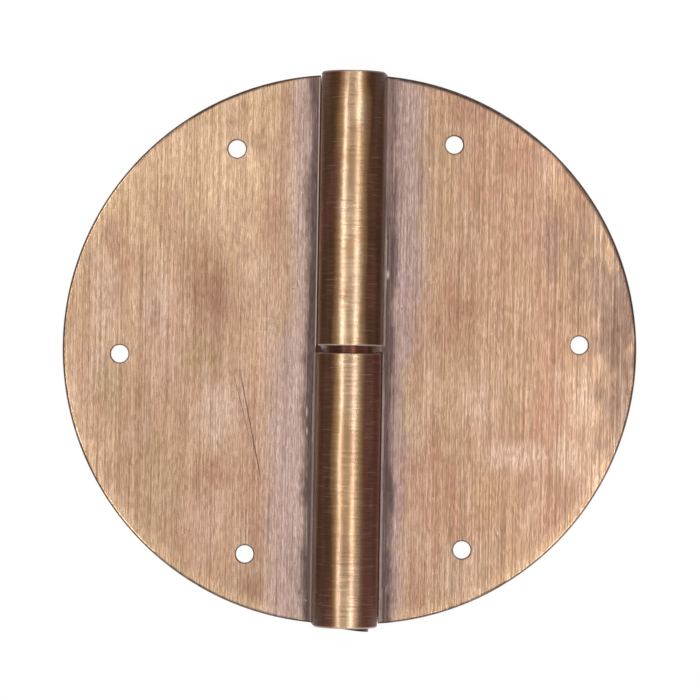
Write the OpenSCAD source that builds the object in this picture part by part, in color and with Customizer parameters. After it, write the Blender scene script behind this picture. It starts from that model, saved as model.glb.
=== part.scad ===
// Round two-knuckle lift-off cabinet hinge, lying open on its back.
// X runs from the frame leaf to the door leaf, Y along the pin towards the
// door leaf's knuckle, and Z out of the front of the leaves. The origin lies
// on the back plane, under the middle of the pin axis.
// Both leaves are pressed alike, and the frame leaf lies half a turn about Z
// from the door leaf. Only the door leaf's sheet runs on into the gap between
// the knuckles.

/* [Leaf] */
// Diameter of the round rim that both leaves follow
leaf_diameter = 100; // [80:0.5:140]
// Distance from the pin axis to the centre of a leaf's rim
leaf_spread = 2.25; // [1:0.05:5]
// Thickness of the sheet
sheet = 1.5; // [1:0.1:2.2]
// Radius on the front edge of the rim
rim_round = 0.5; // [0.2:0.05:0.9]
// Chamfer on the front of the straight free edge
free_edge_break = 0.1; // [0.05:0.05:0.4]

/* [Knuckles] */
// Gap between the ends of the two knuckles
knuckle_gap = 1.2; // [0.6:0.1:3]
// Length that a knuckle's outer end stands out past the rim
knuckle_overhang = 0.2; // [0:0.05:1]
// Radius on the outer edge of a knuckle's ends
knuckle_round = 0.4; // [0.1:0.05:0.8]
// Slit between the end of the roll and the front of its own leaf
roll_seam = 0.15; // [0.05:0.05:0.4]
// Angle above level at which the roll stops bending and its end runs on straight
tail_angle = 5; // [0:0.5:15]
// Depth that the straight end lies inside the round of the bend
tail_sink = 0.01; // [0.005:0.005:0.05]
// Room between a leaf's free edge and the side of the other knuckle
free_edge_room = 0.2; // [0.1:0.05:1]
// Room between the door leaf's sheet and the end of the frame leaf's knuckle
sheet_end_room = 0.2; // [0.1:0.05:0.5]

/* [Pin and plug] */
// Diameter of the pin
pin_diameter = 8.5; // [6:0.1:12]
// Radial room between the pin and the knuckles
pin_room = 0.05; // [0.02:0.01:0.1]
// Height that the longer side of the pin's foot stands out of the frame leaf's knuckle
pin_foot = 0.75; // [0.3:0.05:2]
// Slant of the saw cut across the foot of the pin
foot_slant = 8; // [0:0.5:10]
// Chamfer on the tip of the pin
tip_chamfer = 1; // [0.2:0.1:1.5]
// Thickness of the plug that closes the door leaf's knuckle
plug_thickness = 3; // [2:0.1:6]
// Depth of the plug below the end of its knuckle
plug_recess = 0.2; // [0.1:0.05:1]
// Radial room for the solder between the plug and its knuckle
plug_room = 0.02; // [0.01:0.01:0.05]
// Room between the tip of the pin and the plug that rests on it
tip_room = 0.05; // [0.02:0.01:0.1]

/* [Screw holes] */
// Diameter of a screw hole
hole_diameter = 3.2; // [2.5:0.1:5]
// Distance from the outermost point of the rim to the middle hole
hole_margin = 10.4; // [6:0.1:16]
// Angle from the middle hole to its neighbours, about the origin
hole_step = 61.8; // [50:0.1:68]
// Turn of the three holes from square to the pin, as they are drilled
hole_turn = 2; // [-4:0.1:4]
// Chamfer on the front of a hole
hole_break = 0.2; // [0.1:0.05:0.5]

/* [Hidden] */
$fn = 96;

rim_radius = leaf_diameter / 2;
bore_radius = pin_diameter / 2 + pin_room;
barrel_radius = bore_radius + sheet;
// The back of the leaf is tangent to the barrel, so the axis lies one barrel radius up.
axis_height = barrel_radius;
barrel_end = rim_radius + knuckle_overhang;
knuckle_start = knuckle_gap / 2;
knuckle_length = barrel_end - knuckle_start;
free_edge = barrel_radius + free_edge_room;
// The tail of the roll is cut square, and its inner corner lies one seam above the leaf.
tail_inner = bore_radius - tail_sink;
tail_outer = barrel_radius - tail_sink;
tail_span = knuckle_length - 2 * tail_sink;
tail_length = (bore_radius - roll_seam + tail_inner * sin(tail_angle)) / cos(tail_angle);
plug_face = barrel_end - plug_recess;
pin_tip = plug_face - plug_thickness - tip_room;
pin_foot_end = -barrel_end - pin_foot;
hole_circle = rim_radius + leaf_spread - hole_margin;
hole_angles = [for (k = [-1:1]) hole_turn + k * hole_step];
// Overlap that carries a cut past the face it starts from.
past = 1;

// Section with two rounded corners on its outer side, for revolving about x = 0.
module rounded_wall(inner, outer, height, bottom_round, top_round) {
    difference() {
        translate([inner, 0])
            square([outer - inner, height]);
        translate([outer - bottom_round, 0])
            corner_waste(bottom_round);
        translate([outer - top_round, height])
            mirror([0, 1])
                corner_waste(top_round);
    }
}

// What a quarter round of the given radius leaves of its square corner.
module corner_waste(radius) {
    difference() {
        translate([0, -past])
            square([radius + past, radius + past]);
        translate([0, radius])
            circle(radius);
        translate([-past, -2 * past])
            square([past, radius + 3 * past]);
    }
}

// Turns a solid that stands on Z to lie along Y on the pin axis.
module along_pin(start) {
    translate([0, start, axis_height])
        rotate([-90, 0, 0])
            children();
}

// Round blank with its front edge rounded, about the centre of the rim.
module rim_disc() {
    translate([leaf_spread, 0, 0])
        rotate_extrude($fn = 180)
            rounded_wall(0, rim_radius, sheet, 0, rim_round);
}

// Outline that a leaf keeps of the blank: up to the pin axis beside its own
// knuckle, and back to the free edge beside the other one. The step between
// the two lies at the given height along the pin.
module leaf_outline(step) {
    far = rim_radius + leaf_spread + past;
    polygon([
        [0, step], [0, far], [far, far], [far, -far],
        [free_edge, -far], [free_edge, step]
    ]);
}

module free_edge_chamfer(step) {
    translate([free_edge, -rim_radius - past, sheet])
        rotate([-90, 0, 0])
            linear_extrude(rim_radius + past + step)
                polygon([
                    [-past, -past], [free_edge_break + past, -past],
                    [-past, free_edge_break + past]
                ]);
}

module screw_hole(angle) {
    radius = hole_diameter / 2;
    rotate([0, 0, angle])
        translate([hole_circle, 0, 0]) {
            translate([0, 0, -past])
                cylinder(h = sheet + 2 * past, r = radius);
            translate([0, 0, sheet - hole_break])
                cylinder(h = hole_break + past, r1 = radius, r2 = radius + hole_break + past);
        }
}

// Sheet rolled round the pin: it leaves the leaf under the axis, goes up and
// over the pin, and its straight tail comes down to the front of the leaf.
module knuckle() {
    along_pin(knuckle_start)
        difference() {
            union() {
                rotate_extrude()
                    rounded_wall(0, barrel_radius, knuckle_length, knuckle_round, knuckle_round);
                roll_tail();
            }
            roll_hollow();
        }
}

// Straight end of the roll, thick enough for the hollow to cut its inner side.
module roll_tail() {
    rotate([0, 0, -tail_angle])
        rotate([90, 0, 0])
            translate([0, 0, -tail_length])
                linear_extrude(tail_length)
                    translate([0, tail_sink])
                        rounded_wall(tail_inner - sheet, tail_outer, tail_span, knuckle_round, knuckle_round);
}

// Bore for the pin, open towards the leaf as far as the inner side of the tail.
module roll_hollow() {
    far = 2 * barrel_radius;
    length = knuckle_length + 2 * past;
    side = [tail_inner * cos(tail_angle), -tail_inner * sin(tail_angle)];
    down = [sin(tail_angle), cos(tail_angle)];
    translate([0, 0, -past]) {
        cylinder(h = length, r = bore_radius);
        linear_extrude(length)
            polygon([[0, 0], [0, far], side + far * down, side]);
    }
}

// One pressing: half a round plate with its knuckle rolled on the +Y half.
module leaf(step) {
    difference() {
        intersection() {
            rim_disc();
            linear_extrude(sheet)
                leaf_outline(step);
        }
        free_edge_chamfer(step);
        for (angle = hole_angles)
            screw_hole(angle);
    }
    knuckle();
}

module left_leaf() {
    color("tan")
        rotate([0, 0, 180])
            leaf(knuckle_start);
}

module right_leaf() {
    color("burlywood")
        leaf(sheet_end_room - knuckle_start);
}

// Plain pin: tight in the frame leaf's knuckle, running in the door leaf's.
module hinge_pin() {
    radius = pin_diameter / 2;
    length = pin_tip - pin_foot_end;
    color("saddlebrown")
        difference() {
            along_pin(pin_foot_end) {
                cylinder(h = length - tip_chamfer, r = radius);
                translate([0, 0, length - tip_chamfer])
                    cylinder(h = tip_chamfer, r1 = radius, r2 = radius - tip_chamfer);
            }
            foot_saw_cut(radius);
        }
}

// What the saw takes off the foot of the pin, all but its +X side.
module foot_saw_cut(radius) {
    reach = 2 * radius;
    translate([radius, pin_foot_end, axis_height])
        rotate([0, 0, -foot_slant])
            translate([-2 * reach, -2 * past, -reach])
                cube([2 * reach, 2 * past, 2 * reach]);
}

// Disc soldered into the door leaf's knuckle, which rests on the tip of the pin.
module top_plug() {
    color("peru")
        along_pin(plug_face - plug_thickness)
            cylinder(h = plug_thickness, r = bore_radius - plug_room);
}

left_leaf();
right_leaf();
hinge_pin();
top_plug();
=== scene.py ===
import math

import bpy
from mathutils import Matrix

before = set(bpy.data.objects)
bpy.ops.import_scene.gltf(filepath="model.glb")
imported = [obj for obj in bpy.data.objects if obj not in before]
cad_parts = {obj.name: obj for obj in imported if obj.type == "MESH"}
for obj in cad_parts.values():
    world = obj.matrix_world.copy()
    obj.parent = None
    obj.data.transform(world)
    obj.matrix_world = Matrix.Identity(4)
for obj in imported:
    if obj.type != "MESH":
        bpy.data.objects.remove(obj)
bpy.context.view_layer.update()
print("frame loaded:", sorted(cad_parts))

scene = bpy.context.scene
scene.view_settings.view_transform = "Standard"


# small helpers for node trees; most add a node and hand back its output

def addNode(tree, kind, **settings):
    node = tree.nodes.new(kind)
    for key, value in settings.items():
        setattr(node, key, value)
    return node


def feed(tree, socket, value):
    if isinstance(value, bpy.types.NodeSocket):
        tree.links.new(value, socket)
    else:
        socket.default_value = value


def calc(tree, operation, a, b=0.0):
    node = addNode(tree, "ShaderNodeMath", operation=operation)
    feed(tree, node.inputs[0], a)
    feed(tree, node.inputs[1], b)
    return node.outputs[0]


def plus(tree, a, b):
    return calc(tree, "ADD", a, b)


def minus(tree, a, b):
    return calc(tree, "SUBTRACT", a, b)


def times(tree, a, b):
    return calc(tree, "MULTIPLY", a, b)


def over(tree, a, b):
    return calc(tree, "DIVIDE", a, b)


def larger(tree, a, b):
    return calc(tree, "MAXIMUM", a, b)


def gapTo(tree, value, place):  # distance either way
    return calc(tree, "ABSOLUTE", minus(tree, value, place))


def sway(tree, value, width):  # turns 0 to 1 into a swing of that width about zero
    return times(tree, minus(tree, value, 0.5), width)


def fade(tree, value, start, end, low=0.0, high=1.0):
    node = addNode(tree, "ShaderNodeMapRange", interpolation_type="SMOOTHSTEP")
    labels = ("Value", "From Min", "From Max", "To Min", "To Max")
    for label, given in zip(labels, (value, start, end, low, high)):
        feed(tree, node.inputs[label], given)
    return node.outputs["Result"]


def blend(tree, factor, first, second, how="MIX"):
    node = addNode(tree, "ShaderNodeMix", data_type="RGBA", blend_type=how)
    feed(tree, node.inputs[0], factor)
    feed(tree, node.inputs[6], first)
    feed(tree, node.inputs[7], second)
    return node.outputs[2]


def blendValue(tree, factor, first, second):
    node = addNode(tree, "ShaderNodeMix", data_type="FLOAT")
    feed(tree, node.inputs[0], factor)
    feed(tree, node.inputs[2], first)
    feed(tree, node.inputs[3], second)
    return node.outputs[0]


def arrow(tree, operation, a, b=None):  # Vector Math; length and dot product come out as a number
    node = addNode(tree, "ShaderNodeVectorMath", operation=operation)
    feed(tree, node.inputs[0], a)
    if b is not None:
        feed(tree, node.inputs[1], b)
    return node.outputs["Value" if operation in ("LENGTH", "DOT_PRODUCT") else "Vector"]


def parts(tree, vector):
    node = addNode(tree, "ShaderNodeSeparateXYZ")
    tree.links.new(vector, node.inputs[0])
    return node.outputs


def joined(tree, x, y, z=0.0):
    node = addNode(tree, "ShaderNodeCombineXYZ")
    for socket, value in zip(node.inputs, (x, y, z)):
        feed(tree, socket, value)
    return node.outputs[0]


def noise(tree, vector, detail, rough):
    node = addNode(tree, "ShaderNodeTexNoise", noise_dimensions="3D")
    node.inputs["Scale"].default_value = 1.0
    node.inputs["Detail"].default_value = detail
    node.inputs["Roughness"].default_value = rough
    tree.links.new(vector, node.inputs["Vector"])
    return node.outputs["Fac"]


def chance(tree, vector):  # one even random number for each whole-number place
    node = addNode(tree, "ShaderNodeTexWhiteNoise", noise_dimensions="3D")
    tree.links.new(vector, node.inputs["Vector"])
    return node.outputs["Value"]


def tone(red, green, blue):  # display values 0 to 255, to linear
    def linear(v):
        v = v / 255
        return v / 12.92 if v <= 0.04045 else ((v + 0.055) / 1.055) ** 2.4
    return (linear(red), linear(green), linear(blue), 1.0)


def newGroup(name, inputs, outputs):
    group = bpy.data.node_groups.new(name, "ShaderNodeTree")
    for label, kind, value in inputs:
        socket = group.interface.new_socket(label, in_out="INPUT", socket_type=kind)
        if value is not None:
            socket.default_value = value
    for label, kind in outputs:
        group.interface.new_socket(label, in_out="OUTPUT", socket_type=kind)
    return group, addNode(group, "NodeGroupInput").outputs, addNode(group, "NodeGroupOutput").inputs


def useGroup(tree, group, **values):
    node = addNode(tree, "ShaderNodeGroup", node_tree=group)
    for label, value in values.items():
        feed(tree, node.inputs[label], value)
    return node.outputs


vector, number, color = "NodeSocketVector", "NodeSocketFloat", "NodeSocketColor"

# brushing: separate thin strokes along Y in millimetres, and the broader bands they gather in
strokeBands = {
    "shift": 9.0,  # stroke lengths that lanes are shifted by, at most
    "widths": 6.0,  # stroke widths to a band
    "lengths": 2.5,
    "detail": 2.0,
    "roughness": 0.6,
}


def buildBrushing():
    group, given, result = newGroup(
        "brushing",
        [("Point", vector, None), ("Width", number, 0.2), ("Length", number, 8.0), ("Seed", number, 0.0)],
        [("Stroke", number), ("Band", number)])
    x, y = parts(group, given["Point"])[:2]
    width, length, seed = given["Width"], given["Length"], given["Seed"]
    lane = calc(group, "FLOOR", over(group, x, width))
    shift = times(group, chance(group, joined(group, lane, seed)), strokeBands["shift"])
    run = calc(group, "FLOOR", plus(group, over(group, y, length), shift))
    group.links.new(chance(group, joined(group, lane, run, seed)), result["Stroke"])
    across = over(group, x, times(group, width, strokeBands["widths"]))
    along = over(group, y, times(group, length, strokeBands["lengths"]))
    band = noise(group, joined(group, across, along, seed), strokeBands["detail"], strokeBands["roughness"])
    group.links.new(band, result["Band"])
    return group


# clouds: soft patches drawn out along the brushing
cloudNoise = {"detail": 2.5, "roughness": 0.55}


def buildClouds():
    group, given, result = newGroup(
        "clouds",
        [("Point", vector, None), ("Size", number, 15.0), ("Stretch", number, 1.6), ("Seed", number, 0.0),
         ("Low", number, 0.42), ("High", number, 0.62)],
        [("Mask", number)])
    x, y, z = parts(group, given["Point"])
    size = given["Size"]
    across = over(group, x, size)
    along = over(group, y, times(group, size, given["Stretch"]))
    up = plus(group, over(group, z, size), given["Seed"])
    cloud = noise(group, joined(group, across, along, up), cloudNoise["detail"], cloudNoise["roughness"])
    group.links.new(fade(group, cloud, given["Low"], given["High"]), result["Mask"])
    return group


# stain: one soft oval patch with an uneven border
stainBorder = (1.3, 0.2)  # shares of the size where it ends and where it is full


def buildStain():
    group, given, result = newGroup(
        "stain",
        [("Point", vector, None), ("Uneven", number, 0.0), ("Centre", vector, None), ("Size", vector, None)],
        [("Mask", number)])
    off = arrow(group, "SUBTRACT", given["Point"], given["Centre"])
    reach = arrow(group, "LENGTH", arrow(group, "DIVIDE", off, given["Size"]))
    group.links.new(fade(group, plus(group, reach, given["Uneven"]), *stainBorder), result["Mask"])
    return group


# scratch: a thin straight line that fades at its ends
# Along is its run over its squared length, and Across its normal over its width,
# so the fades are shares of its width and of its length
scratchFade = {"side": (1.0, 0.3), "start": (0.0, 0.15), "end": (1.0, 0.8)}


def buildScratch():
    group, given, result = newGroup(
        "scratch",
        [("Point", vector, None), ("Start", vector, None), ("Along", vector, None), ("Across", vector, None)],
        [("Mask", number)])
    off = arrow(group, "SUBTRACT", given["Point"], given["Start"])
    share = arrow(group, "DOT_PRODUCT", off, given["Along"])
    aside = calc(group, "ABSOLUTE", arrow(group, "DOT_PRODUCT", off, given["Across"]))
    ends = times(group, fade(group, share, *scratchFade["start"]), fade(group, share, *scratchFade["end"]))
    group.links.new(times(group, fade(group, aside, *scratchFade["side"]), ends), result["Mask"])
    return group


# specks: small scattered spots
speckEdge = (1.0, 0.4)  # shares of the size where one ends and where it is full


def buildSpecks():
    group, given, result = newGroup(
        "specks",
        [("Point", vector, None), ("Spacing", number, 6.0), ("Size", number, 0.3), ("Seed", number, 0.0)],
        [("Mask", number)])
    cells = addNode(group, "ShaderNodeTexVoronoi", voronoi_dimensions="3D", feature="F1")
    cells.inputs["Scale"].default_value = 1.0
    spacing = given["Spacing"]
    place = arrow(group, "DIVIDE", given["Point"], joined(group, spacing, spacing, spacing))
    group.links.new(arrow(group, "ADD", place, joined(group, given["Seed"], 0.0)), cells.inputs["Vector"])
    reach = over(group, times(group, cells.outputs["Distance"], spacing), given["Size"])
    group.links.new(fade(group, reach, *speckEdge), result["Mask"])
    return group


# shade: lightens and darkens a colour by a value, the blue a little more than the red
shadeStep = {"span": (0.2, 0.8), "shares": (0.82, 1.0, 1.2), "least": 0.05}


def buildShade():
    group, given, result = newGroup(
        "shade",
        [("Color", color, (0.5, 0.5, 0.5, 1.0)), ("Value", number, 0.5), ("Depth", number, 0.3)],
        [("Color", color)])
    step = times(group, fade(group, given["Value"], *shadeStep["span"], -1.0, 1.0), given["Depth"])
    factor = addNode(group, "ShaderNodeCombineColor")
    for socket, share in zip(factor.inputs, shadeStep["shares"]):
        feed(group, socket, larger(group, plus(group, times(group, step, share), 1.0), shadeStep["least"]))
    group.links.new(blend(group, 1.0, given["Color"], factor.outputs[0], "MULTIPLY"), result["Color"])
    return group


brushing = buildBrushing()
clouds = buildClouds()
stain = buildStain()
scratch = buildScratch()
specks = buildSpecks()
shade = buildShade()
print("shader groups ready")


# shared sizes of the hinge, in millimetres
hinge = {
    "axisHeight": 5.8,
    "barrelRadius": 5.8,
    "sheet": 1.5,
    "rimRadius": 50.0,
    "rimCentre": 2.25,
    "holeCircle": 41.85,
    "holeStep": 61.8,
    "holeTurn": 2.0,
    "holeRadius": 1.6,
    "freeEdge": 6.0,
    "seamSide": 6.17,
    "knuckleStart": 0.6,
    "barrelEnd": 50.2,
}


def newMaterial(name):
    material = bpy.data.materials.new(name)
    material.use_nodes = True
    material.node_tree.nodes.clear()
    return material, material.node_tree


def objectPoint(tree):  # Object coordinates in millimetres
    coords = addNode(tree, "ShaderNodeTexCoord")
    scale = addNode(tree, "ShaderNodeMapping")
    scale.inputs["Scale"].default_value = (1000.0, 1000.0, 1000.0)
    tree.links.new(coords.outputs["Object"], scale.inputs["Vector"])
    return scale.outputs[0]


def spotDistance(tree, x, y, across, along):
    dx = minus(tree, x, across)
    dy = minus(tree, y, along)
    return calc(tree, "SQRT", plus(tree, times(tree, dx, dx), times(tree, dy, dy)))


def aroundPin(tree, x, z):  # angle about the pin, 0 at the front
    return calc(tree, "ARCTAN2", x, minus(tree, z, hinge["axisHeight"]))


def shaded(tree, base, value, depth):
    return useGroup(tree, shade, Color=base, Value=value, Depth=depth)["Color"]


def cloudy(tree, spot, seed, look):
    return useGroup(tree, clouds, Point=spot, Seed=seed, **look)["Mask"]


# clear coat, thickest along the gold crest of the barrel
lacquer = {"thin": 0.16, "thick": 1.0, "roughness": 0.24, "ior": 1.7}

# the tangent lies along the pin, which every pose keeps, and leans a little,
# because on the end faces it would otherwise stand straight up from the surface
metal = {
    "tangent": (0.03, 1.0, 0.02),
    "turn": 0.25,  # of the stretched highlights, in whole turns
    "relief": 0.00001,  # metres
}


def finishMetal(tree, base, rough, height, coat, strength, anisotropic):
    bump = addNode(tree, "ShaderNodeBump")
    bump.inputs["Strength"].default_value = strength
    bump.inputs["Distance"].default_value = metal["relief"]
    tree.links.new(height, bump.inputs["Height"])
    shader = addNode(tree, "ShaderNodeBsdfPrincipled")
    shader.inputs["Metallic"].default_value = 1.0
    shader.inputs["Anisotropic"].default_value = anisotropic
    shader.inputs["Anisotropic Rotation"].default_value = metal["turn"]
    shader.inputs["Coat Roughness"].default_value = lacquer["roughness"]
    shader.inputs["Coat IOR"].default_value = lacquer["ior"]
    feed(tree, shader.inputs["Coat Weight"], coat)
    tree.links.new(joined(tree, *metal["tangent"]), shader.inputs["Tangent"])
    tree.links.new(base, shader.inputs["Base Color"])
    tree.links.new(rough, shader.inputs["Roughness"])
    tree.links.new(bump.outputs[0], shader.inputs["Normal"])
    out = addNode(tree, "ShaderNodeOutputMaterial")
    tree.links.new(shader.outputs[0], out.inputs[0])


# colours of the leaves
tints = {
    "glow": tone(230, 193, 155),
    "pink": tone(178, 132, 108),
    "straw": tone(202, 167, 129),
    "pale": tone(214, 183, 161),
    "olive": tone(176, 146, 112),
    "rust": tone(146, 98, 80),
    "smoke": tone(136, 108, 92),
    "gold": tone(188, 146, 106),
    "umber": tone(74, 54, 46),
    # pale wear, and also the colour of the painted highlights on seams and edges
    "paleWearAndHighlight": tone(226, 204, 190),
    # crest to flank: the barrel's gold crest and dark flanks, partly patina and partly painted light and
    # shade
    "crest": tone(172, 140, 106),
    "brassy": tone(157, 119, 76),
    "bronze": tone(127, 94, 58),
    "flank": tone(80, 51, 31),
    "copper": tone(104, 61, 51),
    "back": tone(122, 90, 64),
    "dull": tone(98, 74, 58),
}

# stains, scratches and nicks lie where the real leaves have them, in millimetres across and along
# a stain: across, along, wide, tall, tint, amount
# a scratch: across and along at its start, across and along at its end, width, amount
# a nick: across, along, wide, tall, tint
frameLeaf = {
    "name": "frameLeafBrass",
    "turned": True,
    "ground": tone(197, 160, 133),
    # the next two colours: painted reflection and painted shade of the barrel on the plate beside it
    "reflectionTint": tone(188, 162, 155),
    "barrelShade": tone(110, 87, 83),
    "seed": 41.0,
    "stains": [
        (-30.0, 32.0, 20.0, 17.0, "glow", 0.62),
        (-27.0, 15.0, 4.2, 7.5, "rust", 0.45),
        (-25.2, 7.5, 3.4, 6.0, "rust", 0.35),
        (-35.4, 5.0, 1.0, 3.4, "rust", 0.40),
        (-14.3, 23.0, 2.4, 7.0, "pink", 0.55),
        (-32.5, 24.0, 3.0, 6.0, "pink", 0.50),
        (-24.4, -23.0, 6.0, 3.5, "pink", 0.70),
        (-16.8, -43.6, 3.0, 3.5, "rust", 0.45),
        (-39.8, 27.5, 6.0, 7.0, "straw", 0.55),
        (-17.0, 43.5, 5.0, 4.0, "straw", 0.30),
        (-27.0, -2.5, 4.0, 5.0, "olive", 0.60),
        (-42.9, -8.7, 4.0, 7.0, "olive", 0.60),
        (-23.0, -11.5, 5.5, 6.5, "pale", 0.60),
        (-45.5, 9.4, 3.5, 7.0, "pale", 0.50),
        (-34.0, -24.0, 6.0, 9.0, "olive", 0.35),
    ],
    "scratches": [
        (-20.2, -2.6, -15.4, -25.5, 0.15, 0.80),
        (-21.4, -3.4, -17.6, -17.5, 0.11, 0.65),
        (-24.4, -10.6, -22.3, -20.3, 0.11, 0.55),
        (-19.0, 20.0, -18.2, 5.0, 0.08, 0.30),
        (-17.2, 5.9, -13.2, 5.6, 0.08, 0.45),
        (-16.4, 4.8, -12.6, 4.3, 0.07, 0.40),
        (-16.9, 3.4, -14.0, 3.3, 0.07, 0.35),
    ],
    "nicks": [
        (-7.6, -11.5, 0.22, 1.1, "paleWearAndHighlight"),
        (-7.5, -15.0, 0.20, 0.9, "paleWearAndHighlight"),
        (-9.4, 12.0, 0.2, 0.6, "paleWearAndHighlight"),
        (-6.35, 31.9, 0.4, 0.7, "rust"),
    ],
    "paintedReflection": (12.8, 17.0),  # reach from the pin beside the other knuckle, and beside its own
    "barrelShadeTop": 0.80,
    "seam": (0.3, 0.3),  # painted highlight along the seam, near the middle of the pin and at its end
    "freeEdgeHighlight": 0.85,
    "scribe": 0.0,
    "warmFlank": 0.8,
    "crestLean": -0.10,  # radians that the gold crest, partly painted light, leans at the foot
    "endShade": 0.0,  # radians that the crest narrows by at its outer end
    "endHighlight": (0.15, 0.55),  # at the slit and at the outer end
    "rimGold": (0.35, 0.40),  # at the middle and at the foot
    "rimDepth": (0.40, 0.46),  # of the painted rim shade, at the foot and at the top
    "rimDark": (0.88, 0.90),
}
doorLeaf = {
    "name": "doorLeafBrass",
    "turned": False,
    "ground": tone(186, 150, 124),
    # the next two colours: painted reflection and painted shade of the barrel on the plate beside it
    "reflectionTint": tone(172, 147, 143),
    "barrelShade": tone(102, 79, 75),
    "seed": 11.0,
    "stains": [
        (41.0, 22.0, 9.0, 12.0, "smoke", 0.20),
        (18.7, 7.5, 3.0, 8.0, "rust", 0.40),
        (36.8, 17.0, 1.6, 12.0, "smoke", 0.50),
        (44.5, 12.0, 6.5, 13.0, "smoke", 0.45),
        (49.0, 7.0, 5.4, 13.0, "smoke", 0.90),
        (49.6, -8.0, 5.0, 13.0, "smoke", 0.80),
        (30.0, 4.0, 15.0, 24.0, "pink", 0.22),
        (11.2, 24.0, 2.0, 26.0, "smoke", 0.30),
        (9.9, -20.0, 1.0, 24.0, "rust", 0.30),
        (31.8, 35.0, 5.0, 4.0, "pink", 0.55),
        (20.7, 44.0, 5.0, 3.5, "rust", 0.35),
        (36.1, -9.0, 2.6, 9.0, "pink", 0.65),
        (42.1, -7.3, 2.2, 7.0, "pale", 0.50),
        (29.5, -19.7, 6.0, 3.0, "pale", 0.55),
        (40.0, -19.6, 3.5, 5.0, "pale", 0.55),
        (26.0, -26.5, 7.0, 5.5, "gold", 0.45),
        (16.5, -26.5, 8.0, 9.0, "pink", 0.70),
        (13.5, -41.0, 4.5, 7.0, "pink", 0.60),
        (23.5, 28.5, 3.5, 7.0, "pink", 0.45),
    ],
    "scratches": [
        (33.0, 14.0, 33.6, -3.0, 0.10, 0.40),
        (30.2, 24.0, 29.9, 6.0, 0.08, 0.35),
        (24.0, -6.0, 24.9, -19.0, 0.08, 0.30),
    ],
    "nicks": [
        (6.75, 13.7, 0.35, 0.9, "paleWearAndHighlight"),
        (14.0, 33.0, 0.18, 0.5, "paleWearAndHighlight"),
        (27.5, -33.0, 0.2, 0.5, "paleWearAndHighlight"),
    ],
    "paintedReflection": (11.8, 15.0),
    "barrelShadeTop": 0.55,
    "seam": (0.3, 0.04),
    "freeEdgeHighlight": 0.35,
    "scribe": 0.35,
    "warmFlank": 0.0,
    "crestLean": 0.0,
    "endShade": 0.10,
    "endHighlight": (0.75, 0.25),
    "rimGold": (0.0, 0.38),
    "rimDepth": (0.34, 0.57),
    "rimDark": (0.62, 0.95),
}


# what is added to a leaf's seed for each pattern on it
seedStep = {
    "long": 0.0,
    "uneven": 2.0,
    "cloud": 4.3,  # once more for each layer of clouds
    "short": 5.0,
    "hair": 12.0,
    "darkSpecks": 17.2,
    "lightSpecks": 26.2,
    "rings": 37.2,
    "brassy": 40.2,
    "copper": 44.2,
    "lengthwise": 48.2,
    "filing": 54.2,
    "wander": 67.2,
}

# plate: tan brass with soft clouds of patina, stains and a golden border
patina = {
    "uneven": {"Size": 3.2, "Stretch": 2.0, "Low": 0.2, "High": 0.8},
    "clouds": [  # tint, size, stretch, low, high, amount
        ("pink", 13.0, 1.9, 0.40, 0.70, 0.50),
        ("straw", 10.0, 1.8, 0.42, 0.72, 0.35),
        ("pale", 8.0, 2.4, 0.45, 0.75, 0.45),
        ("olive", 9.0, 1.8, 0.45, 0.75, 0.45),
    ],
    "border": 1.1,  # how uneven a stain's border is
    "through": 1000.0,  # a stain goes right through the sheet
    "goldReach": (3.2, 0.6),
    "goldSpan": (0.0, -30.0),
}


def addPatina(tree, leaf, at):
    plate = leaf["ground"]
    seed = leaf["seed"]
    for tint, size, stretch, low, high, amount in patina["clouds"]:
        seed += seedStep["cloud"]
        mask = cloudy(tree, at["spot"], seed, {"Size": size, "Stretch": stretch, "Low": low, "High": high})
        plate = blend(tree, times(tree, mask, amount), plate, tints[tint])
    border = sway(tree, at["uneven"], patina["border"])
    for across, along, wide, tall, tint, amount in leaf["stains"]:
        mask = useGroup(tree, stain, Point=at["spot"], Uneven=border, Centre=(across, along, 0.0),
                        Size=(wide, tall, patina["through"]))["Mask"]
        plate = blend(tree, times(tree, mask, amount), plate, tints[tint])
    golden = fade(tree, at["realY"], *patina["goldSpan"], *leaf["rimGold"])
    golden = times(tree, fade(tree, at["rimRoom"], *patina["goldReach"]), golden)
    return blend(tree, golden, plate, tints["glow"])


# painted reflection and painted shade of the barrel on the plate beside it: a lavender band and a dark mauve
# band
paintedBarrelShade = {
    "sway": 1.6,
    "span": (-8.0, 8.0),
    "edge": (1.0, 0.68),  # shares of the haze's reach
    "amount": 0.75,
    "barrelShadeEdge": (9.0, 7.2),
    "barrelShadeSpan": (18.0, 34.0),
    "barrelShadeFoot": 0.95,
}


def addPaintedBarrelShade(tree, leaf, at, plate):
    away = plus(tree, calc(tree, "ABSOLUTE", at["x"]), sway(tree, at["uneven"], paintedBarrelShade["sway"]))
    reach = over(tree, away, fade(tree, at["y"], *paintedBarrelShade["span"], *leaf["paintedReflection"]))
    paintedReflection = fade(tree, reach, *paintedBarrelShade["edge"], 0.0, paintedBarrelShade["amount"])
    plate = blend(tree, paintedReflection, plate, leaf["reflectionTint"])
    amount = fade(tree, at["realY"], *paintedBarrelShade["barrelShadeSpan"], paintedBarrelShade["barrelShadeFoot"], leaf["barrelShadeTop"])
    barrelShade = times(tree, fade(tree, away, *paintedBarrelShade["barrelShadeEdge"]), amount)
    return blend(tree, barrelShade, plate, leaf["barrelShade"])


# brush strokes in three lengths
plateStrokes = {
    "long": {"Width": 0.16, "Length": 9.0},
    "short": {"Width": 0.12, "Length": 1.0},
    "hair": {"Width": 0.13, "Length": 40.0},
    "depth": {"long": 0.11, "short": 0.19, "hair": 0.13},
    "bandDepth": 0.10,
    "rare": {"hair": 0.15, "long": 0.28},  # amount of the few deepest and brightest strokes
    "deepest": (0.07, 0.02),
    "brightest": (0.94, 0.985),
}


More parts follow.
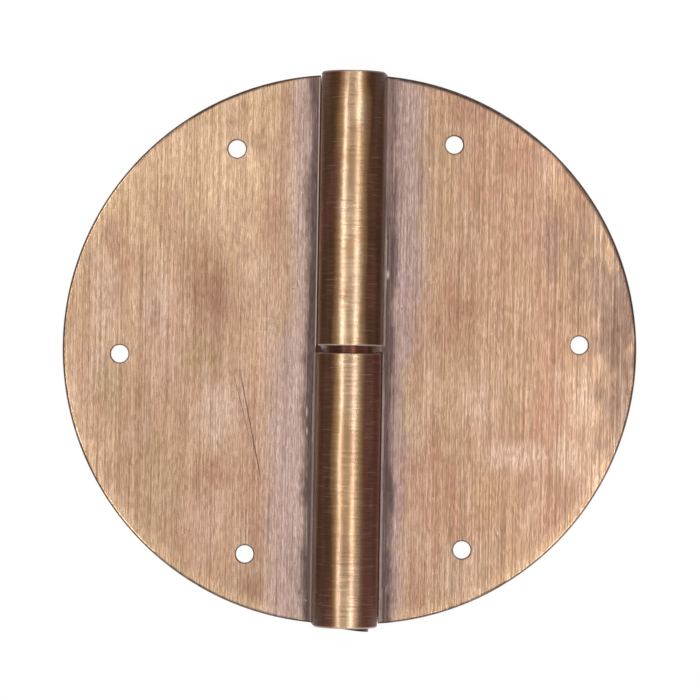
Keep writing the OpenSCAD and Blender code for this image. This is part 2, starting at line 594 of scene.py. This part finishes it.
def addStrokes(tree, at, plate):
    for name, depth in plateStrokes["depth"].items():
        plate = shaded(tree, plate, at[name]["Stroke"], depth)
    plate = shaded(tree, plate, at["long"]["Band"], plateStrokes["bandDepth"])
    for name, amount in plateStrokes["rare"].items():
        stroke = at[name]["Stroke"]
        plate = blend(tree, fade(tree, stroke, *plateStrokes["deepest"], 0.0, amount), plate, tints["umber"])
        plate = blend(tree, fade(tree, stroke, *plateStrokes["brightest"], 0.0, amount), plate, tints["paleWearAndHighlight"])
    return plate


# specks, scratches and nicks
wear = {
    "darkSpecks": ({"Spacing": 7.0, "Size": 0.24}, "umber", 0.5),
    "lightSpecks": ({"Spacing": 6.0, "Size": 0.2}, "paleWearAndHighlight", 0.55),
    "skips": (0.3, 0.55, 0.35, 1.0),  # a scratch pales in places
    "pitDrop": 0.2,
    "pitAmount": 0.6,
    "nickAmount": 0.7,
}


def scratchMarks(tree, leaf, at):
    marks = None
    for startX, startY, endX, endY, width, amount in leaf["scratches"]:
        runX, runY = endX - startX, endY - startY
        length = math.hypot(runX, runY)
        along = (runX / length ** 2, runY / length ** 2, 0.0)
        across = (runY / length / width, -runX / length / width, 0.0)
        start = (startX, startY, 0.0)
        mask = useGroup(tree, scratch, Point=at["spot"], Start=start, Along=along, Across=across)["Mask"]
        line = times(tree, mask, amount)
        marks = line if marks is None else larger(tree, marks, line)
    return times(tree, marks, fade(tree, at["uneven"], *wear["skips"]))


def nickMask(tree, at, across, along, wide, tall):
    size = (wide, tall, patina["through"])
    return useGroup(tree, stain, Point=at["spot"], Centre=(across, along, 0.0), Size=size)["Mask"]


def addWear(tree, leaf, at, plate, marks):
    for name in ("darkSpecks", "lightSpecks"):
        look, tint, amount = wear[name]
        mask = useGroup(tree, specks, Point=at["spot"], Seed=leaf["seed"] + seedStep[name], **look)["Mask"]
        plate = blend(tree, times(tree, mask, amount), plate, tints[tint])
    plate = blend(tree, marks, plate, tints["umber"])
    for across, along, wide, tall, tint in leaf["nicks"]:
        pit = nickMask(tree, at, across - wide, along - wear["pitDrop"], wide, tall)
        plate = blend(tree, times(tree, pit, wear["pitAmount"]), plate, tints["umber"])
        nick = nickMask(tree, at, across, along, wide, tall)
        plate = blend(tree, times(tree, nick, wear["nickAmount"]), plate, tints[tint])
    return plate


# painted highlights along the seam of the roll and on the free edge, and a scribed line beside that edge
highlightsAndScribe = {
    "seamInner": (-0.1, 0.08),  # from the seam
    "seamOuter": (0.4, 0.2),
    "seamSpan": (20.0, 28.0),
    "seamStart": (0.3, 1.0),
    "scribeOff": 0.4,  # from the free edge
    "scribeWide": (0.2, 0.06),
    "scribeStart": (-4.0, -9.0),
    "scribeSkips": (0.2, 0.5, 0.4, 1.0),
    "edgeOff": 0.15,
    "edgeWide": (0.2, 0.08),
    "edgeStart": (0.0, -1.0),
}


def addHighlightsAndScribe(tree, leaf, at, plate):
    x, y = at["x"], at["y"]
    # painted highlight along the seam
    fromSeam = minus(tree, x, hinge["seamSide"])
    inner = fade(tree, fromSeam, *highlightsAndScribe["seamInner"])
    seam = times(tree, inner, fade(tree, fromSeam, *highlightsAndScribe["seamOuter"]))
    seam = times(tree, seam, fade(tree, y, *highlightsAndScribe["seamSpan"], *leaf["seam"]))
    seam = times(tree, seam, fade(tree, y, *highlightsAndScribe["seamStart"]))
    plate = blend(tree, seam, plate, tints["paleWearAndHighlight"])
    off = gapTo(tree, x, hinge["freeEdge"] + highlightsAndScribe["scribeOff"])
    scribe = fade(tree, off, *highlightsAndScribe["scribeWide"], 0.0, leaf["scribe"])
    scribe = times(tree, scribe, fade(tree, y, *highlightsAndScribe["scribeStart"]))
    scribe = times(tree, scribe, fade(tree, at["uneven"], *highlightsAndScribe["scribeSkips"]))
    plate = blend(tree, scribe, plate, tints["paleWearAndHighlight"])
    # painted highlight on the free edge
    off = gapTo(tree, x, hinge["freeEdge"] + highlightsAndScribe["edgeOff"])
    edge = fade(tree, off, *highlightsAndScribe["edgeWide"], 0.0, leaf["freeEdgeHighlight"])
    edge = times(tree, edge, fade(tree, y, *highlightsAndScribe["edgeStart"]))
    return blend(tree, edge, plate, tints["paleWearAndHighlight"])


# painted shade: a dark line on the rim's edge, thickest at the top, where the rounded edge reflects a dark
# surround; and a darker ring round each hole
rimShadeAndHoleRings = {
    "wander": {"Size": 14.0, "Stretch": 1.0, "Low": 0.35, "High": 0.65},
    "wanderShare": (0.75, 1.2),
    "depthSpan": (-30.0, 25.0),
    "edge": (1.5, 0.55),  # shares of the skin's depth
    "darkSpan": (-30.0, 10.0),
    "holeEdge": (0.26, 0.06),  # from the wall of a hole
    "holeDark": 0.5,
}


def addRimShadeAndHoleRings(tree, leaf, at, plate):
    depth = fade(tree, at["realY"], *rimShadeAndHoleRings["depthSpan"], *leaf["rimDepth"])
    depth = times(tree, depth, fade(tree, at["wander"], 0.0, 1.0, *rimShadeAndHoleRings["wanderShare"]))
    rimEdgeShade = fade(tree, over(tree, at["rimRoom"], depth), *rimShadeAndHoleRings["edge"])
    rimEdgeShade = times(tree, rimEdgeShade, fade(tree, at["realY"], *rimShadeAndHoleRings["darkSpan"], *leaf["rimDark"]))
    plate = blend(tree, rimEdgeShade, plate, tints["umber"])
    nearest = None
    for k in (-1, 0, 1):
        angle = math.radians(hinge["holeTurn"] + k * hinge["holeStep"])
        holeX = hinge["holeCircle"] * math.cos(angle)
        holeY = hinge["holeCircle"] * math.sin(angle)
        reach = spotDistance(tree, at["x"], at["y"], holeX, holeY)
        nearest = reach if nearest is None else calc(tree, "MINIMUM", nearest, reach)
    wallRoom = minus(tree, nearest, hinge["holeRadius"])
    dark = fade(tree, wallRoom, *rimShadeAndHoleRings["holeEdge"], 0.0, rimShadeAndHoleRings["holeDark"])
    return blend(tree, dark, plate, tints["umber"])


# barrel: gold along the crest and dark flanks, partly patina and partly painted light and shade where the
# sides turn from the light; fine rings from turning it against the stone
# angles are radians from the crest
barrelLook = {
    "rings": {"Width": 0.14, "Length": 2.6},
    "lengthwise": {"Size": 2.2, "Stretch": 7.0, "Low": 0.25, "High": 0.75},
    "leanSpan": (-20.0, -42.0),
    "endSpan": (6.0, 1.0),
    "bandSway": 0.14,
    "lengthSway": 0.16,
    "ringSway": 0.06,
    "brassy": {"Size": 5.0, "Stretch": 2.2, "Low": 0.38, "High": 0.62},
    "bronzeEdge": (0.24, 0.42),
    "flankEdge": (0.40, 0.62),
    "copper": {"Size": 5.0, "Stretch": 3.0, "Low": 0.5, "High": 0.68},
    "copperEdge": (0.25, 0.5, 0.1, 0.6),
    "warmSpan": (2.2, 3.4),
    "ringDepth": 0.15,
    "lengthDepth": 0.12,
    "darkRings": (0.08, 0.02, 0.0, 0.16),
    "lightRings": (0.95, 0.99, 0.0, 0.07),
    "filing": {"Size": 1.6, "Stretch": 1.0, "Low": 0.3, "High": 0.7},
    "filedEdge": (0.08, 0.03),
    "gapEdge": (0.42, 0.15),
    "outerEdge": (0.45, 0.15),
}


def readBarrel(tree, leaf, at):  # the rings, the lengthwise streaks and the ragged angle from the crest
    turn = aroundPin(tree, at["x"], at["z"])
    wrap = joined(tree, at["realY"], times(tree, turn, hinge["barrelRadius"]))
    rings = useGroup(tree, brushing, Point=wrap, Seed=leaf["seed"] + seedStep["rings"], **barrelLook["rings"])
    streaks = cloudy(tree, at["spot"], leaf["seed"] + seedStep["lengthwise"], barrelLook["lengthwise"])
    lean = fade(tree, at["realY"], *barrelLook["leanSpan"], 0.0, leaf["crestLean"])
    ragged = gapTo(tree, turn, lean)
    at["outerRoom"] = minus(tree, hinge["barrelEnd"], at["y"])
    ragged = plus(tree, ragged, fade(tree, at["outerRoom"], *barrelLook["endSpan"], 0.0, leaf["endShade"]))
    ragged = plus(tree, ragged, sway(tree, rings["Band"], barrelLook["bandSway"]))
    ragged = plus(tree, ragged, sway(tree, streaks, barrelLook["lengthSway"]))
    ragged = plus(tree, ragged, sway(tree, rings["Stroke"], barrelLook["ringSway"]))
    at.update(ring=rings["Stroke"], streaks=streaks, ragged=ragged)


def barrelBrass(tree, leaf, at):
    seed, spot, ring, ragged = leaf["seed"], at["spot"], at["ring"], at["ragged"]
    brassy = cloudy(tree, spot, seed + seedStep["brassy"], barrelLook["brassy"])
    barrel = blend(tree, brassy, tints["crest"], tints["brassy"])
    barrel = blend(tree, fade(tree, ragged, *barrelLook["bronzeEdge"]), barrel, tints["bronze"])
    barrel = blend(tree, fade(tree, ragged, *barrelLook["flankEdge"]), barrel, tints["flank"])
    copper = cloudy(tree, spot, seed + seedStep["copper"], barrelLook["copper"])
    copper = times(tree, copper, fade(tree, ragged, *barrelLook["copperEdge"]))
    barrel = blend(tree, copper, barrel, tints["copper"])
    warm = fade(tree, at["realX"], *barrelLook["warmSpan"], 0.0, leaf["warmFlank"])
    barrel = blend(tree, warm, barrel, tints["copper"])
    barrel = shaded(tree, barrel, ring, barrelLook["ringDepth"])
    barrel = shaded(tree, barrel, at["streaks"], barrelLook["lengthDepth"])
    barrel = blend(tree, fade(tree, ring, *barrelLook["darkRings"]), barrel, tints["umber"])
    barrel = blend(tree, fade(tree, ring, *barrelLook["lightRings"]), barrel, tints["paleWearAndHighlight"])

    # filed end faces, and painted highlights along their edges
    gapRoom = minus(tree, at["y"], hinge["knuckleStart"])
    filed = fade(tree, gapRoom, *barrelLook["filedEdge"])
    filed = larger(tree, filed, fade(tree, at["outerRoom"], *barrelLook["filedEdge"]))
    filing = cloudy(tree, spot, seed + seedStep["filing"], barrelLook["filing"])
    barrel = blend(tree, filed, barrel, blend(tree, filing, tints["bronze"], tints["flank"]))
    gapHighlight, outerHighlight = leaf["endHighlight"]
    barrel = blend(tree, fade(tree, gapRoom, *barrelLook["gapEdge"], 0.0, gapHighlight), barrel, tints["paleWearAndHighlight"])
    outer = fade(tree, at["outerRoom"], *barrelLook["outerEdge"], 0.0, outerHighlight)
    return blend(tree, outer, barrel, tints["paleWearAndHighlight"])


def readLeaf(tree, leaf):  # places on a leaf in millimetres, and the patterns that several steps share
    spot = objectPoint(tree)
    realX, realY, z = parts(tree, spot)
    side = -1.0 if leaf["turned"] else 1.0  # the frame leaf is laid out as the door leaf turned half round
    x = times(tree, realX, side)
    y = times(tree, realY, side)
    seed = leaf["seed"]
    at = {"spot": spot, "realX": realX, "realY": realY, "x": x, "y": y, "z": z}
    at["rimRoom"] = minus(tree, hinge["rimRadius"], spotDistance(tree, x, y, hinge["rimCentre"], 0.0))
    for name in ("long", "short", "hair"):
        at[name] = useGroup(tree, brushing, Point=spot, Seed=seed + seedStep[name], **plateStrokes[name])
    at["uneven"] = cloudy(tree, spot, seed + seedStep["uneven"], patina["uneven"])
    at["wander"] = cloudy(tree, spot, seed + seedStep["wander"], rimShadeAndHoleRings["wander"])
    return at


# how plate, barrel and back are joined, and how smooth each is
leafFinish = {
    "barrelStart": (0.05, 0.2),  # above the front of the sheet
    "barrelSide": (0.3, -0.3),  # across the pin's axis, past which all is barrel
    "backEdge": (0.3, 0.08, 0.0, 0.85),
    "longGrain": 0.2,
    "shortGrain": 0.12,
    "ringGrain": 0.08,
    "scratchDepth": 1.5,
    "plateSpan": (0.3, 0.7),
    "plateRough": (0.265, 0.235),
    "barrelRough": (0.25, 0.6, 0.27, 0.42),
    "backRough": 0.08,
    "coatEdge": (0.25, 0.5),
    "relief": 0.3,
    "anisotropic": 0.7,
}


def makeLeafMaterial(leaf):
    material, tree = newMaterial(leaf["name"])
    at = readLeaf(tree, leaf)
    readBarrel(tree, leaf, at)
    marks = scratchMarks(tree, leaf, at)
    plate = addPatina(tree, leaf, at)
    plate = addPaintedBarrelShade(tree, leaf, at, plate)
    plate = addStrokes(tree, at, plate)
    plate = addWear(tree, leaf, at, plate, marks)
    plate = addHighlightsAndScribe(tree, leaf, at, plate)
    plate = addRimShadeAndHoleRings(tree, leaf, at, plate)
    barrel = barrelBrass(tree, leaf, at)

    aboveSheet = fade(tree, minus(tree, at["z"], hinge["sheet"]), *leafFinish["barrelStart"])
    onBarrel = larger(tree, aboveSheet, fade(tree, at["x"], *leafFinish["barrelSide"]))
    onBack = fade(tree, at["z"], *leafFinish["backEdge"])
    base = blend(tree, onBarrel, plate, barrel)
    base = blend(tree, onBack, base, blend(tree, at["wander"], tints["back"], tints["dull"]))

    long, short = at["long"]["Stroke"], at["short"]["Stroke"]
    grain = times(tree, long, leafFinish["longGrain"])
    grain = plus(tree, grain, times(tree, short, leafFinish["shortGrain"]))
    height = blendValue(tree, onBarrel, grain, times(tree, at["ring"], leafFinish["ringGrain"]))
    height = minus(tree, height, times(tree, marks, leafFinish["scratchDepth"]))

    roughPlate = fade(tree, long, *leafFinish["plateSpan"], *leafFinish["plateRough"])
    roughBarrel = fade(tree, at["ragged"], *leafFinish["barrelRough"])
    rough = blendValue(tree, onBarrel, roughPlate, roughBarrel)
    rough = plus(tree, rough, times(tree, onBack, leafFinish["backRough"]))
    coat = fade(tree, at["ragged"], *leafFinish["coatEdge"], lacquer["thick"], lacquer["thin"])
    coat = blendValue(tree, onBarrel, lacquer["thin"], coat)
    finishMetal(tree, base, rough, height, coat, leafFinish["relief"], leafFinish["anisotropic"])
    return material


# pin and plug: darkened turned bar, darker still at the foot of the pin
barBrass = {
    "copper": tone(104, 56, 40),
    "brown": tone(62, 33, 25),
    "pinFoot": tone(58, 46, 40),
    "rings": {"Width": 0.12, "Length": 6.0},
    "tarnish": {"Size": 5.0, "Stretch": 1.4},
    "tarnishStep": 4.0,  # added to the seed
    "ringDepth": 0.25,
    "pinFootReach": (1.6, 0.4),
    "pinFootAmount": 0.9,
    "rough": (0.30, 0.45),  # where it is copper and where it is brown
    "relief": 0.5,
    "anisotropic": 0.3,
}


def makeBarMaterial(name, seed, pinFootEnd=None):
    material, tree = newMaterial(name)
    spot = objectPoint(tree)
    x, y, z = parts(tree, spot)
    wrap = joined(tree, y, times(tree, aroundPin(tree, x, z), hinge["barrelRadius"]))
    rings = useGroup(tree, brushing, Point=wrap, Seed=seed, **barBrass["rings"])
    tarnish = cloudy(tree, spot, seed + barBrass["tarnishStep"], barBrass["tarnish"])
    base = blend(tree, tarnish, barBrass["copper"], barBrass["brown"])
    base = shaded(tree, base, rings["Stroke"], barBrass["ringDepth"])
    if pinFootEnd is not None:
        fromEnd = minus(tree, y, pinFootEnd)
        pinFoot = fade(tree, fromEnd, *barBrass["pinFootReach"], 0.0, barBrass["pinFootAmount"])
        base = blend(tree, pinFoot, base, barBrass["pinFoot"])
    rough = fade(tree, tarnish, 0.0, 1.0, *barBrass["rough"])
    relief, anisotropic = barBrass["relief"], barBrass["anisotropic"]
    finishMetal(tree, base, rough, rings["Stroke"], lacquer["thin"], relief, anisotropic)
    return material


def dress(nodeName, material):
    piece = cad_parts[nodeName]
    if piece.material_slots:
        for slot in piece.material_slots:
            slot.material = material
    else:
        piece.data.materials.append(material)


dress("left_leaf", makeLeafMaterial(frameLeaf))
dress("right_leaf", makeLeafMaterial(doorLeaf))
dress("hinge_pin", makeBarMaterial("pinBrass", 61.0, pinFootEnd=-51.0))
dress("top_plug", makeBarMaterial("plugBrass", 83.0))
print("materials ready")


# studio: pale floor, two long soft boxes over the leaves, a sky that is bright overhead and at its foot
studio = {
    "floorSize": 6.0,
    "floorDrop": 0.00002,  # keeps the floor clear of the leaves' backs
    "floorTone": (0.95, 0.95, 0.95, 1.0),
    "floorWhite": 0.95,
    "white": (1.0, 1.0, 1.0, 1.0),
    "nookShade": (0.14, 0.085, 0.06, 1.0),  # painted shade: the floor is darkened in the slits of the hinge, by ambient occlusion
    "slitShade": tone(66, 46, 38),
    "nookReach": 0.02,  # metres
    "nookSamples": 32,
    "nookEdge": (0.18, 0.27),
    "overhead": 0.79,
    "overheadSpan": (0.55, 0.85),
    "dusk": 0.70,
    "ends": 0.75,  # brighter past both ends of the pin
    "endsSpan": (0.15, 0.75),
    "horizon": 0.85,
    "horizonSpan": (0.22, 0.06),
    "boxes": [(-28.0, 0.075, 2.3), (20.0, 0.085, 2.1)],  # degrees from overhead, width in metres, watts
    "boxLength": 1.1,
    "boxDistance": 0.7,
}


def makeFloorMaterial():
    material, tree = newMaterial("paleFloor")
    paths = addNode(tree, "ShaderNodeLightPath").outputs
    seen = larger(tree, paths["Is Glossy Ray"], paths["Is Transmission Ray"])
    seen = larger(tree, paths["Is Camera Ray"], seen)
    nook = addNode(tree, "ShaderNodeAmbientOcclusion", samples=studio["nookSamples"])
    nook.inputs["Distance"].default_value = studio["nookReach"]
    # painted shade where the floor lies in the hinge's slits
    openness = fade(tree, nook.outputs["AO"], *studio["nookEdge"])
    matte = addNode(tree, "ShaderNodeBsdfDiffuse")
    tree.links.new(blend(tree, openness, studio["nookShade"], studio["floorTone"]), matte.inputs["Color"])
    white = addNode(tree, "ShaderNodeEmission")
    tree.links.new(blend(tree, openness, studio["slitShade"], studio["white"]), white.inputs["Color"])
    mix = addNode(tree, "ShaderNodeMixShader")
    tree.links.new(times(tree, seen, studio["floorWhite"]), mix.inputs[0])
    tree.links.new(matte.outputs[0], mix.inputs[1])
    tree.links.new(white.outputs[0], mix.inputs[2])
    out = addNode(tree, "ShaderNodeOutputMaterial")
    tree.links.new(mix.outputs[0], out.inputs[0])
    return material


def buildFloor():
    half = studio["floorSize"] / 2
    corners = [(-half, -half, 0), (half, -half, 0), (half, half, 0), (-half, half, 0)]
    mesh = bpy.data.meshes.new("floor")
    mesh.from_pydata(corners, [], [(0, 1, 2, 3)])
    mesh.materials.append(makeFloorMaterial())
    floor = bpy.data.objects.new("floor", mesh)
    scene.collection.objects.link(floor)
    floor.location.z = -studio["floorDrop"]


def buildSky():
    world = bpy.data.worlds.new("studioSky")
    scene.world = world
    world.use_nodes = True
    tree = world.node_tree
    tree.nodes.clear()
    lengthways, up = parts(tree, addNode(tree, "ShaderNodeTexCoord").outputs["Generated"])[1:]
    toEnds = calc(tree, "ABSOLUTE", lengthways)
    low = fade(tree, toEnds, *studio["endsSpan"], studio["dusk"], studio["ends"])
    glow = fade(tree, up, *studio["overheadSpan"], low, studio["overhead"])
    glow = blendValue(tree, fade(tree, up, *studio["horizonSpan"]), glow, studio["horizon"])
    sky = addNode(tree, "ShaderNodeBackground")
    tree.links.new(glow, sky.inputs["Strength"])
    out = addNode(tree, "ShaderNodeOutputWorld")
    tree.links.new(sky.outputs[0], out.inputs[0])


def buildBoxes():
    for count, (lean, width, watts) in enumerate(studio["boxes"]):
        lamp = bpy.data.lights.new("softBox%d" % count, "AREA")
        lamp.shape = "RECTANGLE"
        lamp.size = width
        lamp.size_y = studio["boxLength"]
        lamp.energy = watts
        box = bpy.data.objects.new(lamp.name, lamp)
        scene.collection.objects.link(box)
        angle = math.radians(lean)
        box.location = (math.sin(angle) * studio["boxDistance"], 0, math.cos(angle) * studio["boxDistance"])
        box.rotation_euler = (0, angle, 0)


buildFloor()
buildSky()
buildBoxes()
print("studio ready")


camera = {
    "distance": 0.690,  # from the front of the leaves
    "frameWidth": 0.1274,  # seen at the front of the leaves
    "roll": 0.95,  # degrees
    "aim": (0.0001, -0.0001),  # metres from the origin
    "sensor": 36.0,  # millimetres
    "clip": (0.01, 100.0),
}


def buildCamera():
    data = bpy.data.cameras.new("photoCamera")
    data.sensor_width = camera["sensor"]
    data.lens = camera["sensor"] * camera["distance"] / camera["frameWidth"]
    data.clip_start, data.clip_end = camera["clip"]
    eye = bpy.data.objects.new("photoCamera", data)
    scene.collection.objects.link(eye)
    eye.location = (camera["aim"][0], camera["aim"][1], camera["distance"] + hinge["sheet"] / 1000)
    eye.rotation_euler = (0, 0, math.radians(camera["roll"]))
    scene.camera = eye


buildCamera()
print("camera ready")
